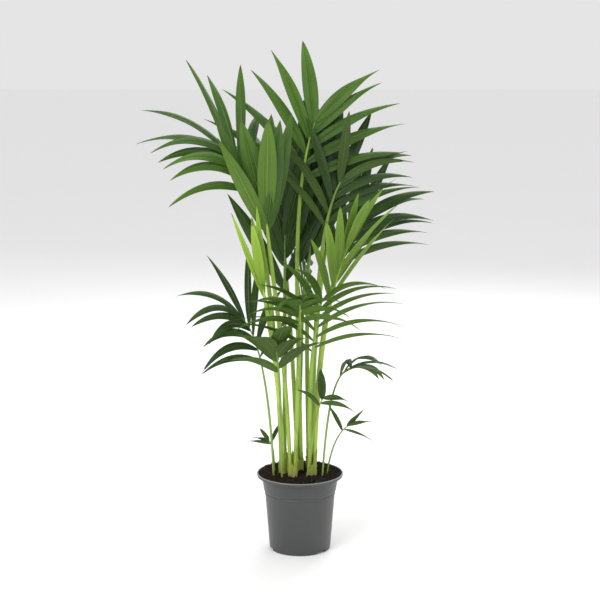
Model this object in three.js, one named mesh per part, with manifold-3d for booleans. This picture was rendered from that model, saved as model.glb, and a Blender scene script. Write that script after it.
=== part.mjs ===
// A potted kentia palm: a clump of young palms planted together in a grey plastic nursery pot.
// Millimetres, +Z up, with the origin in the middle of the pot's foot.
import * as THREE from "three";
import { mergeVertices } from "three/addons/utils/BufferGeometryUtils.js";
import Module from "manifold-3d";

const wasm = await Module();
wasm.setup();

// Driving sizes
const CLEARANCE = 0.3; // between two pieces that touch

const POT_HEIGHT = 170;
const FOOT_RADIUS = 66;
const BODY_RADIUS = 77; // under the step below the collar
const COLLAR_RADIUS = 83.5; // under the rim
const RIM_RADIUS = 94.5;
const POT_WALL = 1.8;
const RIM_HEIGHT = 9;
const COLLAR_HEIGHT = 28;
const STEP_HEIGHT = 3;
const FOOT_HEIGHT = 4;
const FOOT_WIDTH = 5;
const FLOOR_THICKNESS = 2.4;
const CENTRE_PAD_RADIUS = 18;
const DRAIN_COUNT = 6;
const DRAIN_RADIUS = 5.5;
const DRAIN_CIRCLE = 40;
const NOTCH_COUNT = 3;
const NOTCH_WIDTH = 20;
const NOTCH_TURN = 75; // where the first one is, in degrees
const POT_SIDES = 56;

const SOIL_DROP = 4; // from the rim down to the soil
const SOIL_MOUND = 3;
const SOIL_SIDES = 32;

const PETIOLE_RADIUS = 3.6; // where a frond's stalk leaves the soil
const PETIOLE_SWELL = 0.3; // how much thicker the stalk is half way up, as a share
const RACHIS_TIP_RADIUS = 1;
const PLANTED = 38; // how deep the stalks stand in the soil
const STALK_SIDES = 6;
const STALK_STEPS = 6;

const SHEATH_HEIGHT = 60; // above the soil
const SHEATH_ROOT = 18; // below it
const SHEATH_WALL = 2;
const SHEATH_SIDES = 12;
const SHEATH_STEPS = 5;

const BLADE_KEEL = 1.3; // depth of a leaflet's folded midrib
const BLADE_BELLY = 0.2; // how far the other side swells, as a share of that depth
const BLADE_ROWS = [0, 0.2, 0.45, 0.72]; // along a leaflet, before its tip
const BLADE_TURN = 0.85; // how far a leaflet's face turns up towards its tip
const LEAF_GAP = 1.5; // room kept between two fronds
const FINEST = 0.03; // slivers thinner than this are smoothed away
const SWING = THREE.MathUtils.degToRad(4); // one step that a leaflet moves aside
const MOST_SWINGS = 5;
const SHORTER = [1, 0.85, 0.7, 0.55]; // a crowded leaflet stays shorter

const SOIL_TOP = POT_HEIGHT - SOIL_DROP;

const COLORS = {
  pot: 0x5d5d5d, soil: 0x2b1d14, sheath: 0x9a8a4c,
  mature: 0x3c6e28, light: 0x7ca53c, dark: 0x2c4f24, young: 0xa6cc4a,
};

function finish(tone, roughness) {
  return new THREE.MeshStandardMaterial({ color: COLORS[tone], roughness, metalness: 0 });
}

function solid(geometry) {
  const bare = geometry.clone();
  bare.deleteAttribute("normal");
  bare.deleteAttribute("uv");
  const merged = mergeVertices(bare, 1e-4);
  return new wasm.Manifold(new wasm.Mesh({
    numProp: 3,
    vertProperties: new Float32Array(merged.attributes.position.array),
    triVerts: new Uint32Array(merged.index.array),
  }));
}

// A join or a cut leaves slivers where facets just miss each other.
const smoothed = (shape) => shape.asOriginal().simplify(FINEST);

function mesh(name, shape, material) {
  const { vertProperties, triVerts } = shape.getMesh();
  const geometry = new THREE.BufferGeometry();
  geometry.setAttribute("position", new THREE.BufferAttribute(vertProperties, 3));
  geometry.setIndex(new THREE.BufferAttribute(triVerts, 1));
  geometry.computeVertexNormals();
  const made = new THREE.Mesh(geometry, material);
  made.name = name;
  return made;
}

// A lathe turns about Y: it is stood up so that it turns about Z.
function turned(outline, sides) {
  const points = outline.map(([radius, height]) => new THREE.Vector2(radius, height));
  return solid(new THREE.LatheGeometry(points, sides).rotateX(Math.PI / 2));
}

// The pot: one moulding, a tapered body with a step, a collar and an upright rim.

const RIM_FOOT = POT_HEIGHT - RIM_HEIGHT;
const COLLAR_FOOT = RIM_FOOT - COLLAR_HEIGHT;
const COLLAR_FOOT_RADIUS = (BODY_RADIUS + COLLAR_RADIUS) / 2 - 1;
const FLOOR_TOP = FOOT_HEIGHT + FLOOR_THICKNESS;

// The inside of the wall, from the floor up to the rim, moved in by a gap.
function innerWall(gap) {
  const inset = POT_WALL + gap;
  return [
    [FOOT_RADIUS - inset, FLOOR_TOP + gap],
    [BODY_RADIUS - inset, COLLAR_FOOT - STEP_HEIGHT],
    [COLLAR_FOOT_RADIUS - inset, COLLAR_FOOT],
    [COLLAR_RADIUS - inset, RIM_FOOT + POT_WALL],
    [RIM_RADIUS - 1.6 - inset, RIM_FOOT + 2 * POT_WALL + gap],
  ];
}

function makePot() {
  const outline = [
    [0, 0],
    [CENTRE_PAD_RADIUS, 0],
    [CENTRE_PAD_RADIUS + 2, FOOT_HEIGHT],
    [FOOT_RADIUS - FOOT_WIDTH, FOOT_HEIGHT],
    [FOOT_RADIUS - FOOT_WIDTH, 0],
    [FOOT_RADIUS, 0],
    [FOOT_RADIUS, FOOT_HEIGHT],
    [FOOT_RADIUS + 1, FOOT_HEIGHT + 1],
    [BODY_RADIUS, COLLAR_FOOT - STEP_HEIGHT],
    [COLLAR_FOOT_RADIUS, COLLAR_FOOT],
    [COLLAR_RADIUS, RIM_FOOT],
    [RIM_RADIUS - 1.2, RIM_FOOT + POT_WALL],
    [RIM_RADIUS, POT_HEIGHT - 2],
    [RIM_RADIUS - 0.6, POT_HEIGHT],
    [RIM_RADIUS - 1 - POT_WALL, POT_HEIGHT],
    ...innerWall(0).reverse(),
    [0, FLOOR_TOP],
  ];
  let pot = turned(outline, POT_SIDES);
  for (let k = 0; k < DRAIN_COUNT; k += 1) {
    const angle = (2 * Math.PI * (k + 0.5)) / DRAIN_COUNT;
    const hole = new THREE.CylinderGeometry(DRAIN_RADIUS, DRAIN_RADIUS, 2 * FLOOR_TOP, 16)
      .rotateX(Math.PI / 2)
      .translate(DRAIN_CIRCLE * Math.cos(angle), DRAIN_CIRCLE * Math.sin(angle), FLOOR_TOP);
    pot = pot.subtract(solid(hole));
  }
  for (let k = 0; k < NOTCH_COUNT; k += 1) {
    const angle = THREE.MathUtils.degToRad(NOTCH_TURN + (360 * k) / NOTCH_COUNT);
    const notch = new THREE.BoxGeometry(4 * FOOT_WIDTH, NOTCH_WIDTH, 2 * FOOT_HEIGHT)
      .translate(FOOT_RADIUS, 0, 0)
      .rotateZ(angle);
    pot = pot.subtract(solid(notch));
  }
  return pot;
}

// The soil: it fills the pot up to a little below the rim, higher in the middle.

function makeSoil() {
  const side = innerWall(CLEARANCE);
  const [edge] = side.at(-1);
  return turned([[0, FLOOR_TOP + CLEARANCE], ...side, [edge, SOIL_TOP],
    [edge * 0.85, SOIL_TOP + 0.6 * SOIL_MOUND], [edge * 0.4, SOIL_TOP + SOIL_MOUND],
    [0, SOIL_TOP + SOIL_MOUND]], SOIL_SIDES);
}

// The young palms: where each stands on the soil, and how many stalks leave it in a ring.

const SEEDLINGS = {
  left: { at: [-36, -8], stalks: 3 },
  mid_left: { at: [-16, -30], stalks: 2 },
  centre: { at: [-2, 8], stalks: 3 },
  right: { at: [26, -18], stalks: 2 },
  back_right: { at: [24, 24], stalks: 4 },
  small_left: { at: [-56, -22], stalks: 1 },
  small_left_inner: { at: [-38, -36], stalks: 1 },
  sprig_left: { at: [-54, 10], stalks: 1 },
  small_right: { at: [46, -26], stalks: 1 },
  small_right_inner: { at: [8, -38], stalks: 1 },
  sprig_right: { at: [54, 0], stalks: 1 },
};

// The fronds. stands is a stalk's place on its seedling's ring, in degrees. rise, arch and tip lead
// the stalk's curve, with heights from the soil. The first bare share of it carries no leaflets.
// blade is the lowest leaflets' length and width, and taper is how much shorter the last are.
// spread is the angle between leaflets and stalk, first and last pair. facing turns the blade
// about Z. droop bends leaflets down, flare bends them out, and lift raises them, in degrees.
const FRONDS = {
  tall_centre: {
    from: "centre", stands: 0, tone: "mature",
    rise: [4, 12, 254], arch: [-32, 20, 594], tip: [32, 25, 766],
    bare: 0.78, pairs: 5, blade: [250, 31], spread: [54, 21], facing: 0, droop: 0.3,
    lift: -4, taper: 0.2, flare: 0.35,
  },
  left_arching: {
    from: "left", stands: 180, tone: "mature",
    rise: [-44, -10, 314], arch: [-80, -35, 654], tip: [-150, -48, 706],
    bare: 0.76, pairs: 6, blade: [228, 30], spread: [50, 16], facing: 50, droop: 0.8,
    taper: 0.0, flare: 0.0,
  },
  left_broad: {
    from: "mid_left", stands: 200, tone: "light",
    rise: [-27, -35, 284], arch: [-60, -60, 434], tip: [-70, -75, 574],
    bare: 0.92, pairs: 4, blade: [245, 46], spread: [20, 4], facing: 10, droop: 0.05,
    taper: 0.1, flare: 0.0,
  },
  dark_back_left: {
    from: "left", stands: 60, tone: "dark",
    rise: [-33, 8, 254], arch: [-34, 34, 414], tip: [-32, 56, 564],
    bare: 0.66, pairs: 4, blade: [240, 46], spread: [26, 10], facing: -10, droop: 0.1,
    flare: 0.0,
  },
  dark_centre_right: {
    from: "back_right", stands: 210, tone: "dark",
    rise: [15, 26, 254], arch: [10, 70, 434], tip: [30, 66, 584],
    bare: 0.74, pairs: 4, blade: [270, 56], spread: [20, 4], facing: 0, droop: 0.1,
    taper: 0.05, flare: 0.0,
  },
  right_high: {
    from: "back_right", stands: 300, tone: "dark",
    rise: [31, 12, 284], arch: [30, 20, 574], tip: [98, 34, 654],
    bare: 0.72, pairs: 6, blade: [220, 24], spread: [42, 16], facing: 11, droop: 0.6,
    flare: 0.15,
  },
  right_light: {
    from: "right", stands: 30, tone: "light",
    rise: [38, -16, 214], arch: [46, -42, 374], tip: [100, -85, 514],
    bare: 0.72, pairs: 5, blade: [225, 24], spread: [24, 6], facing: 35, droop: 0.4,
    flare: 0.1,
  },
  right_low_dark: {
    from: "back_right", stands: 30, tone: "dark",
    rise: [38, 32, 214], arch: [44, 80, 434], tip: [140, 120, 554],
    bare: 0.74, pairs: 6, blade: [230, 26], spread: [38, 14], facing: 10, droop: 0.6,
    flare: 0.1,
  },
  left_spear: {
    from: "left", stands: 300, tone: "young",
    rise: [-38, -22, 174], arch: [-60, -60, 314], tip: [-78, -70, 424],
    bare: 0.93, pairs: 2, blade: [200, 20], spread: [9, 3], facing: 0, droop: 0.0,
    flare: 0,
  },
  left_low: {
    from: "small_left", stands: 0, tone: "dark", thick: 0.55,
    rise: [-60, -40, 134], arch: [-78, -60, 324], tip: [-125, -80, 364],
    bare: 0.62, pairs: 6, blade: [190, 22], spread: [52, 16], facing: 50, droop: 1.2,
    taper: 0.1,
  },
  left_low_inner: {
    from: "small_left_inner", stands: 0, tone: "dark", thick: 0.6,
    rise: [-42, -60, 134], arch: [-40, -80, 234], tip: [-50, -115, 304],
    bare: 0.76, pairs: 3, blade: [130, 36], spread: [40, 16], facing: 0, droop: 0.8,
  },
  low_centre: {
    from: "mid_left", stands: 20, tone: "mature",
    rise: [-6, -40, 174], arch: [0, -90, 334], tip: [0, -160, 404],
    bare: 0.82, pairs: 4, blade: [150, 34], spread: [60, 25], facing: 0, droop: 1.0,
  },
  right_low: {
    from: "right", stands: 210, tone: "mature",
    rise: [18, -24, 164], arch: [20, -72, 304], tip: [46, -112, 402],
    bare: 0.66, pairs: 6, blade: [230, 18], spread: [54, 24], facing: 0, droop: 0.95,
    flare: 0.3,
  },
  right_small: {
    from: "small_right", stands: 0, tone: "dark", thick: 0.5,
    rise: [56, -30, 124], arch: [66, -25, 229], tip: [108, -22, 242],
    bare: 0.8, pairs: 3, blade: [165, 26], spread: [40, 20], facing: 60, droop: 1.2,
  },
  right_small_inner: {
    from: "small_right_inner", stands: 315, tone: "dark", thick: 0.45,
    rise: [30, -44, 94], arch: [34, -45, 164], tip: [50, -50, 181],
    bare: 0.8, pairs: 2, blade: [90, 18], spread: [60, 30], facing: 0, droop: 0.9,
  },
  right_sprig: {
    from: "sprig_right", stands: 340, tone: "dark", thick: 0.4,
    rise: [62, -20, 44], arch: [75, -25, 96], tip: [105, -30, 117],
    bare: 0.84, pairs: 2, blade: [75, 13], spread: [60, 12], facing: 0, droop: 0.3,
  },
  left_sprig: {
    from: "sprig_left", stands: 200, tone: "dark", thick: 0.4,
    rise: [-58, 0, 34], arch: [-56, -2, 69], tip: [-68, -5, 76],
    bare: 0.8, pairs: 2, blade: [62, 12], spread: [50, 35], facing: 0, droop: 0.3,
  },
  back_left: {
    from: "centre", stands: 240, tone: "mature",
    rise: [-12, 12, 254], arch: [-34, 75, 534], tip: [-62, 235, 654],
    bare: 0.7, pairs: 6, blade: [220, 32], spread: [50, 18], facing: 60, droop: 0.5,
  },
  back_right: {
    from: "back_right", stands: 120, tone: "mature",
    rise: [24, 40, 254], arch: [50, 110, 514], tip: [90, 250, 604],
    bare: 0.7, pairs: 6, blade: [220, 32], spread: [50, 18], facing: 110, droop: 0.5,
  },
  back_low: {
    from: "centre", stands: 120, tone: "dark",
    rise: [-1, 24, 174], arch: [4, 120, 334], tip: [12, 250, 434],
    bare: 0.7, pairs: 5, blade: [190, 30], spread: [50, 20], facing: 80, droop: 0.8,
  },
};

// Even chances between -1 and 1, the same for a name each time.
function dice(name) {
  let state = [...name].reduce((sum, letter) => sum + letter.charCodeAt(0), 0) * 7919;
  return () => {
    state = (state * 16807) % 2147483647;
    return (state / 2147483647) * 2 - 1;
  };
}

const UP = new THREE.Vector3(0, 0, 1);
const along = (from, way, length) => from.clone().addScaledVector(way, length);
const between = (a, b, share) => a + (b - a) * share;

function stalkCurve(frond) {
  const { at, stalks } = SEEDLINGS[frond.from];
  const thick = frond.thick ?? 1;
  const ring = stalks > 1 ? (PETIOLE_RADIUS * thick + CLEARANCE) / Math.sin(Math.PI / stalks) : 0;
  const angle = THREE.MathUtils.degToRad(frond.stands);
  const foot = new THREE.Vector3(
    at[0] + ring * Math.cos(angle), at[1] + ring * Math.sin(angle), SOIL_TOP - PLANTED);
  const [rise, arch, tip] = [frond.rise, frond.arch, frond.tip]
    .map(([x, y, z]) => new THREE.Vector3(x, y, SOIL_TOP + z));
  const path = new THREE.CubicBezierCurve3(foot, rise, arch, tip);
  const slope = new THREE.QuadraticBezierCurve3(
    rise.clone().sub(foot), arch.clone().sub(rise), tip.clone().sub(arch));
  const radius = (t) => {
    if (t < frond.bare) {
      return thick * PETIOLE_RADIUS * (1 + PETIOLE_SWELL * Math.sin((Math.PI * t) / frond.bare));
    }
    return between(thick * PETIOLE_RADIUS, Math.max(1, thick) * RACHIS_TIP_RADIUS,
      (t - frond.bare) / (1 - frond.bare));
  };
  return { point: (t) => path.getPoint(t), heading: (t) => slope.getPoint(t).normalize(), radius };
}

// Where leaflets sit on the stalk: in pairs, the right one a little above the left one.
function leafletPlaces(frond) {
  const places = [];
  for (let pair = 0; pair < frond.pairs; pair += 1) {
    for (const side of [-1, 1]) {
      const share = Math.min(1, (pair + (side < 0 ? 0 : 0.35)) / (frond.pairs - 0.65));
      places.push({ pair, side, t: frond.bare + (1 - frond.bare) * share });
    }
  }
  return places;
}

// A closed skin over rings of points that go right-handed about the way the rings are laid.
// A last ring of one point ends it in a tip.
function skin(rings) {
  const sides = rings[0].length;
  const faces = [];
  for (let k = 1; k < sides - 1; k += 1) faces.push(0, k + 1, k);
  rings.slice(1).forEach((ring, row) => {
    const low = row * sides;
    const high = low + sides;
    for (let k = 0; k < sides; k += 1) {
      const next = (k + 1) % sides;
      // a blade's underside is cut along the same diagonals as its upper side, so the two never cross
      const mirrored = sides === 4 && k > 1;
      if (ring.length === 1) faces.push(low + k, low + next, high);
      else if (mirrored) faces.push(low + k, low + next, high + k, low + next, high + next, high + k);
      else faces.push(low + k, low + next, high + next, low + k, high + next, high + k);
    }
  });
  if (rings.at(-1).length > 1) {
    const last = (rings.length - 1) * sides;
    for (let k = 1; k < sides - 1; k += 1) faces.push(last, last + k, last + k + 1);
  }
  const geometry = new THREE.BufferGeometry().setFromPoints(rings.flat());
  geometry.setIndex(faces);
  return solid(geometry);
}

function ringAbout(centre, way, radius, sides) {
  const out = new THREE.Vector3(1, 0, 0).addScaledVector(way, -way.x).normalize();
  const aside = new THREE.Vector3().crossVectors(way, out);
  return Array.from({ length: sides }, (_, k) => {
    const angle = (2 * Math.PI * k) / sides;
    return along(along(centre, out, radius * Math.cos(angle)), aside, radius * Math.sin(angle));
  });
}

// A stalk from its foot to its tip, with a ring where each leaflet leaves it.
function makeStalk(frond, extra = 0) {
  const curve = stalkCurve(frond);
  const stops = Array.from({ length: STALK_STEPS }, (_, k) => (frond.bare * k) / STALK_STEPS);
  const rings = [...stops, ...leafletPlaces(frond).map(({ t }) => t)].map((t) =>
    ringAbout(curve.point(t), curve.heading(t), curve.radius(t) + extra, STALK_SIDES));
  if (extra) {
    const down = curve.heading(0);
    rings.unshift(ringAbout(along(curve.point(0), down, -extra), down,
      curve.radius(0) + extra, STALK_SIDES));
  }
  return skin(rings);
}

// How wide a leaflet is along its length, 1 at its widest.
function bladeWidth(s) {
  const [rise, fall] = [0.68, 0.82];
  const widest = rise / (rise + fall);
  const full = widest ** rise * (1 - widest) ** fall;
  return (0.95 * s ** rise * (1 - s) ** fall) / full + 0.1 * (1 - s) ** 5;
}

// A leaflet as it would grow with nothing in its way. The throws of the dice keep this order.
function growLeaflet(frond, curve, { pair, side, t }, roll) {
  const share = frond.pairs > 1 ? pair / (frond.pairs - 1) : 1;
  const heading = curve.heading(t);
  const facing = THREE.MathUtils.degToRad(frond.facing);
  const across = new THREE.Vector3(Math.cos(facing), Math.sin(facing), 0);
  across.addScaledVector(heading, -across.dot(heading)).normalize();
  const turn = THREE.MathUtils.degToRad(between(...frond.spread, share) + 4 * roll());
  const lift = THREE.MathUtils.degToRad((frond.lift ?? 0) + 6 * roll());
  const length = frond.blade[0] * (1 - (frond.taper ?? 0.25) * share) * (1 + 0.08 * roll());
  const width = frond.blade[1] * (0.75 + 0.25 * share) * (1 + 0.1 * roll());
  const sag = frond.droop * (1 + 0.3 * roll());
  const flare = (frond.flare ?? 0.25) * (1 - 0.6 * share);
  return { base: curve.point(t), heading, across, side, turn, lift, length, width, sag, flare };
}

// Its rows of left edge, right edge and midrib, and its tip.
function bladeRings(leaflet, swing, shorter) {
  const { base, heading, across, side, sag, flare, width } = leaflet;
  const face = new THREE.Vector3().crossVectors(across, heading);
  const turn = leaflet.turn + swing.turn;
  const lift = leaflet.lift + swing.lift;
  const length = leaflet.length * shorter;
  const out = along(heading.clone().multiplyScalar(Math.cos(turn)), across, side * Math.sin(turn));
  const start = along(out.multiplyScalar(Math.cos(lift)), face, Math.sin(lift)).normalize();
  const level = Math.sqrt(Math.max(0, 1 - start.z ** 2));
  const end = along(along(start, across, side * flare), UP, -sag * (0.3 + 0.7 * level)).normalize();
  const middle = along(base, start, length / 2);
  const tip = along(middle, end, length / 2);
  const path = new THREE.QuadraticBezierCurve3(base, middle, tip);
  const rings = BLADE_ROWS.map((s) => {
    const way = start.clone().lerp(end, s).normalize();
    const wide = new THREE.Vector3().crossVectors(face, way).normalize();
    const flat = new THREE.Vector3().crossVectors(UP, way);
    const level = flat.length();
    if (level > 0.05) {
      flat.divideScalar(level * Math.sign(flat.dot(wide)));
      wide.lerp(flat, BLADE_TURN * s * Math.min(1, 1.5 * level)).normalize();
    }
    const half = (width * bladeWidth(s)) / 2;
    const centre = path.getPoint(s);
    const ridge = new THREE.Vector3().crossVectors(way, wide);
    const keel = BLADE_KEEL * (1 - 0.6 * s);
    return [along(centre, wide, -half), along(centre, ridge, -BLADE_BELLY * keel),
      along(centre, wide, half), along(centre, ridge, keel)];
  });
  return [...rings, [tip]];
}

// The ways a leaflet may move aside, the smallest first.
const SWINGS = [{ lift: 0, turn: 0 }];
for (let step = 1; step <= MOST_SWINGS; step += 1) {
  for (const [lift, turn] of [[1, 0], [-1, 0], [0, 1], [0, -1], [1, 1], [-1, -1], [1, -1], [-1, 1]]) {
    SWINGS.push({ lift: lift * step * SWING, turn: turn * step * SWING });
  }
}

const apart = (a, b) => a.minGap(b, LEAF_GAP) >= LEAF_GAP;

// A leaflet that is clear of what stands around it, or null where there is no room for it.
// Leaflets of one frond meet at their stalk, so only their outer parts are kept apart.
function fitLeaflet(leaflet, others, sisters) {
  for (const shorter of SHORTER) {
    for (const swing of SWINGS) {
      const rings = bladeRings(leaflet, swing, shorter);
      const whole = skin(rings);
      const outer = skin(rings.slice(1));
      if (others.every((other) => apart(whole, other))
        && sisters.every((sister) => apart(outer, sister))) return { whole, outer };
    }
  }
  return null;
}

// The brown leaf bases that wrap a seedling's stalks where they leave the soil.
function makeSheath(seedling, fronds, extra = 0) {
  const curves = fronds.map(stalkCurve);
  const low = SOIL_TOP - SHEATH_ROOT - extra;
  const high = SOIL_TOP + SHEATH_HEIGHT + extra;
  const rings = Array.from({ length: SHEATH_STEPS + 1 }, (_, step) => {
    const height = between(low, high, step / SHEATH_STEPS);
    const centres = curves.map((curve) => {
      let [below, above] = [0, 0.6];
      for (let halving = 0; halving < 30; halving += 1) {
        const t = (below + above) / 2;
        if (curve.point(t).z < height) below = t;
        else above = t;
      }
      return curve.point(below);
    });
    const middle = centres.reduce((sum, c) => sum.add(c), new THREE.Vector3())
      .divideScalar(centres.length);
    const reach = Math.max(...centres.map((c) => c.distanceTo(middle)));
    const wall = SHEATH_WALL * (1 - (0.5 * step) / SHEATH_STEPS);
    return ringAbout(middle, UP, reach + PETIOLE_RADIUS + wall + extra, SHEATH_SIDES);
  });
  return skin(rings);
}

function build() {
  const plant = new THREE.Group();
  const fronds = Object.entries(FRONDS);
  const stalks = new Map(fronds.map(([name, frond]) => [name, makeStalk(frond)]));
  const sockets = fronds.map(([, frond]) => makeStalk(frond, CLEARANCE));
  let soil = makeSoil();
  const sheaths = [];
  for (const [name, seedling] of Object.entries(SEEDLINGS)) {
    if (seedling.stalks < 2) continue;
    const own = fronds.filter(([, frond]) => frond.from === name).map(([, frond]) => frond);
    let sheath = makeSheath(seedling, own);
    for (const frond of own) sheath = sheath.subtract(makeStalk(frond, CLEARANCE));
    soil = soil.subtract(makeSheath(seedling, own, CLEARANCE));
    sheaths.push(sheath);
    plant.add(mesh(`sheath_${name}`, smoothed(sheath), finish("sheath", 0.8)));
  }
  for (const socket of sockets) soil = soil.subtract(socket);
  plant.add(mesh("pot", makePot(), finish("pot", 0.45)));
  plant.add(mesh("soil", smoothed(soil), finish("soil", 0.95)));

  const grown = new Map(fronds.map(([name]) => [name, []]));
  for (const [name, frond] of fronds) {
    const curve = stalkCurve(frond);
    const roll = dice(name);
    const others = [...sheaths, ...fronds.filter(([other]) => other !== name)
      .flatMap(([other]) => [stalks.get(other), ...grown.get(other).map(({ whole }) => whole)])];
    for (const place of leafletPlaces(frond)) {
      const leaflet = growLeaflet(frond, curve, place, roll);
      const found = fitLeaflet(leaflet, others, grown.get(name).map(({ outer }) => outer));
      if (found) grown.get(name).push(found);
    }
    const shape = grown.get(name).reduce((sum, { whole }) => sum.add(whole), stalks.get(name));
    plant.add(mesh(`frond_${name}`, smoothed(shape), finish(frond.tone, 0.5)));
  }
  return plant;
}

export default build();
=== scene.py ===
"""A potted kentia palm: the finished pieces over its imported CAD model, in metres, +Z up."""

import math

import bpy
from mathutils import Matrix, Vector, kdtree, noise


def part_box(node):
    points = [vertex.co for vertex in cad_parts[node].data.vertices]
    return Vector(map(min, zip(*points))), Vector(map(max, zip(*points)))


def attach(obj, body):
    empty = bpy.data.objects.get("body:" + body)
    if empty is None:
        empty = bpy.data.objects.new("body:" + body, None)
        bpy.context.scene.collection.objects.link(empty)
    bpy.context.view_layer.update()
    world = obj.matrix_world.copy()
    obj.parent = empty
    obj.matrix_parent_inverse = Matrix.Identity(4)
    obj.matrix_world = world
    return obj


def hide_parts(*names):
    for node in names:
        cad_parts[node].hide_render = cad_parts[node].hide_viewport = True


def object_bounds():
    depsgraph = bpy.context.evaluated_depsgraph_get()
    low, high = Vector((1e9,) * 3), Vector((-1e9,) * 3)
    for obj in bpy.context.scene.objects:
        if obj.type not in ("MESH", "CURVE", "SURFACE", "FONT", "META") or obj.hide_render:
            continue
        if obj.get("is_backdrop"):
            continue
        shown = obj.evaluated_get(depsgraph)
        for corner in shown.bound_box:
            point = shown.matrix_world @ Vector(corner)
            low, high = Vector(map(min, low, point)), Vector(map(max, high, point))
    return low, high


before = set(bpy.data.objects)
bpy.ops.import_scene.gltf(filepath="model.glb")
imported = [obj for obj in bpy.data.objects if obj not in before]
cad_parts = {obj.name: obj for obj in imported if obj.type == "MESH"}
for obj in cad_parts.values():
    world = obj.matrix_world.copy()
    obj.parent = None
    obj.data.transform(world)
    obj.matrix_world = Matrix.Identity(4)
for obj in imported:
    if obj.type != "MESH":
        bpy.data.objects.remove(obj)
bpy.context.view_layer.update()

# The studio: a camera a little above the middle of the palm, a broad soft light on the upper
# left, a weaker one on the right, and one behind that shines through the leaves.
CAMERA_PLACE = (0, -3.15, 1.08)
CAMERA_PITCH = math.radians(9.5)
LENS = 89.04
SENSOR_WIDTH = 36
LIT_HEIGHT = 0.6
SKY = (0.92, 0.92, 0.92, 1)
SKY_STRENGTH = 0.85


def soft_light(name, place, width, watts):
    lamp = bpy.data.lights.new(name, "AREA")
    lamp.size = width
    lamp.energy = watts
    holder = bpy.data.objects.new(name, lamp)
    holder.location = place
    aim = Vector((0, 0, LIT_HEIGHT)) - Vector(place)
    holder.rotation_euler = aim.to_track_quat("-Z", "Y").to_euler()
    bpy.context.scene.collection.objects.link(holder)


soft_light("key_light", (-1.9, -2.7, 2.7), 2.2, 78)
soft_light("fill_light", (2.7, -2.2, 1.7), 2.4, 28)
soft_light("back_light", (0.7, 2.5, 2.6), 1.8, 46)

sky = bpy.data.worlds.new("studio")
sky.use_nodes = True
backdrop = sky.node_tree.nodes["Background"]
backdrop.inputs["Color"].default_value = SKY
backdrop.inputs["Strength"].default_value = SKY_STRENGTH
bpy.context.scene.world = sky
bpy.context.scene.view_settings.view_transform = "Standard"

lens = bpy.data.cameras.new("camera")
lens.lens = LENS
lens.sensor_width = SENSOR_WIDTH
lens.clip_end = 100
camera = bpy.data.objects.new("camera", lens)
camera.location = CAMERA_PLACE
camera.rotation_euler = (math.pi / 2 - CAMERA_PITCH, 0, 0)
bpy.context.scene.collection.objects.link(camera)
bpy.context.scene.camera = camera

# The floor: a pale sheet of matt board that runs out of sight on every side. It only carries the
# pot and takes its soft shadow, so its finish is plain, with the faintest mottle.
FLOOR_HALF = 40
FLOOR_PALE = (0.97, 0.97, 0.97, 1)
FLOOR_DEEP = (0.95, 0.95, 0.95, 1)


class Value:
    """A number that a node tree works out. Arithmetic on it adds Math nodes."""

    def __init__(self, tree, socket):
        self.tree = tree
        self.socket = socket

    def math(self, operation, *others):
        sockets = dict(enumerate((self, *others)))
        return self.tree.add("ShaderNodeMath", {"operation": operation}, sockets)

    def __add__(self, other):
        return self.math("ADD", other)

    def __sub__(self, other):
        return self.math("SUBTRACT", other)

    def __rsub__(self, other):
        return self * -1 + other

    def __mul__(self, other):
        return self.math("MULTIPLY", other)

    def __truediv__(self, other):
        return self.math("DIVIDE", other)

    def __pow__(self, other):
        return self.math("POWER", other)

    def __abs__(self):
        return self.math("ABSOLUTE")

    __radd__ = __add__
    __rmul__ = __mul__

    def rise(self, low, high):
        """0 below low, 1 above high, and smooth between them."""
        settings = {"interpolation_type": "SMOOTHSTEP"}
        return self.tree.add("ShaderNodeMapRange", settings, {0: self, 1: low, 2: high})


class Tree:
    """A node tree that nodes are added to."""

    def __init__(self, group):
        self.group = group

    def add(self, kind, settings=None, sockets=None, out=0):
        """A new node: its settings come first, then the values or links of its sockets."""
        node = self.group.nodes.new(kind)
        for name, value in (settings or {}).items():
            setattr(node, name, value)
        for key, value in (sockets or {}).items():
            if isinstance(value, Value):
                self.group.links.new(value.socket, node.inputs[key])
            else:
                node.inputs[key].default_value = value
        return Value(self, node.outputs[out] if node.outputs else None)

    def mixed(self, share, first, second):
        """A colour between two colours."""
        sockets = {0: share, 6: first, 7: second}
        return self.add("ShaderNodeMix", {"data_type": "RGBA"}, sockets, 2)

    def place(self, stretch=(1, 1, 1)):
        """The place on the object, stretched for grain that runs one way."""
        here = self.add("ShaderNodeTexCoord", out="Object")
        return self.add("ShaderNodeMapping", sockets={"Vector": here, "Scale": stretch})

    def mottle(self, where, scale, detail=3, roughness=0.5):
        """Smooth noise between 0 and 1."""
        sockets = {"Vector": where, "Scale": scale, "Detail": detail, "Roughness": roughness}
        return self.add("ShaderNodeTexNoise", sockets=sockets)

    def relief(self, height, depth, strength=1.0):
        """The normal of a surface with this relief, its depth in metres."""
        sockets = {"Strength": strength, "Distance": depth, "Height": height}
        return self.add("ShaderNodeBump", sockets=sockets)

    def attribute(self, name):
        return self.add("ShaderNodeAttribute", {"attribute_name": name}, out="Fac")

    def shows(self, shader):
        self.add("ShaderNodeOutputMaterial", sockets={"Surface": shader})


def new_finish(name):
    material = bpy.data.materials.new(name)
    material.use_nodes = True
    material.node_tree.nodes.clear()
    return material, Tree(material.node_tree)


def new_piece(name, points, faces):
    mesh = bpy.data.meshes.new(name)
    mesh.from_pydata(points, [], faces)
    piece = bpy.data.objects.new(name, mesh)
    bpy.context.scene.collection.objects.link(piece)
    return piece


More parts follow.
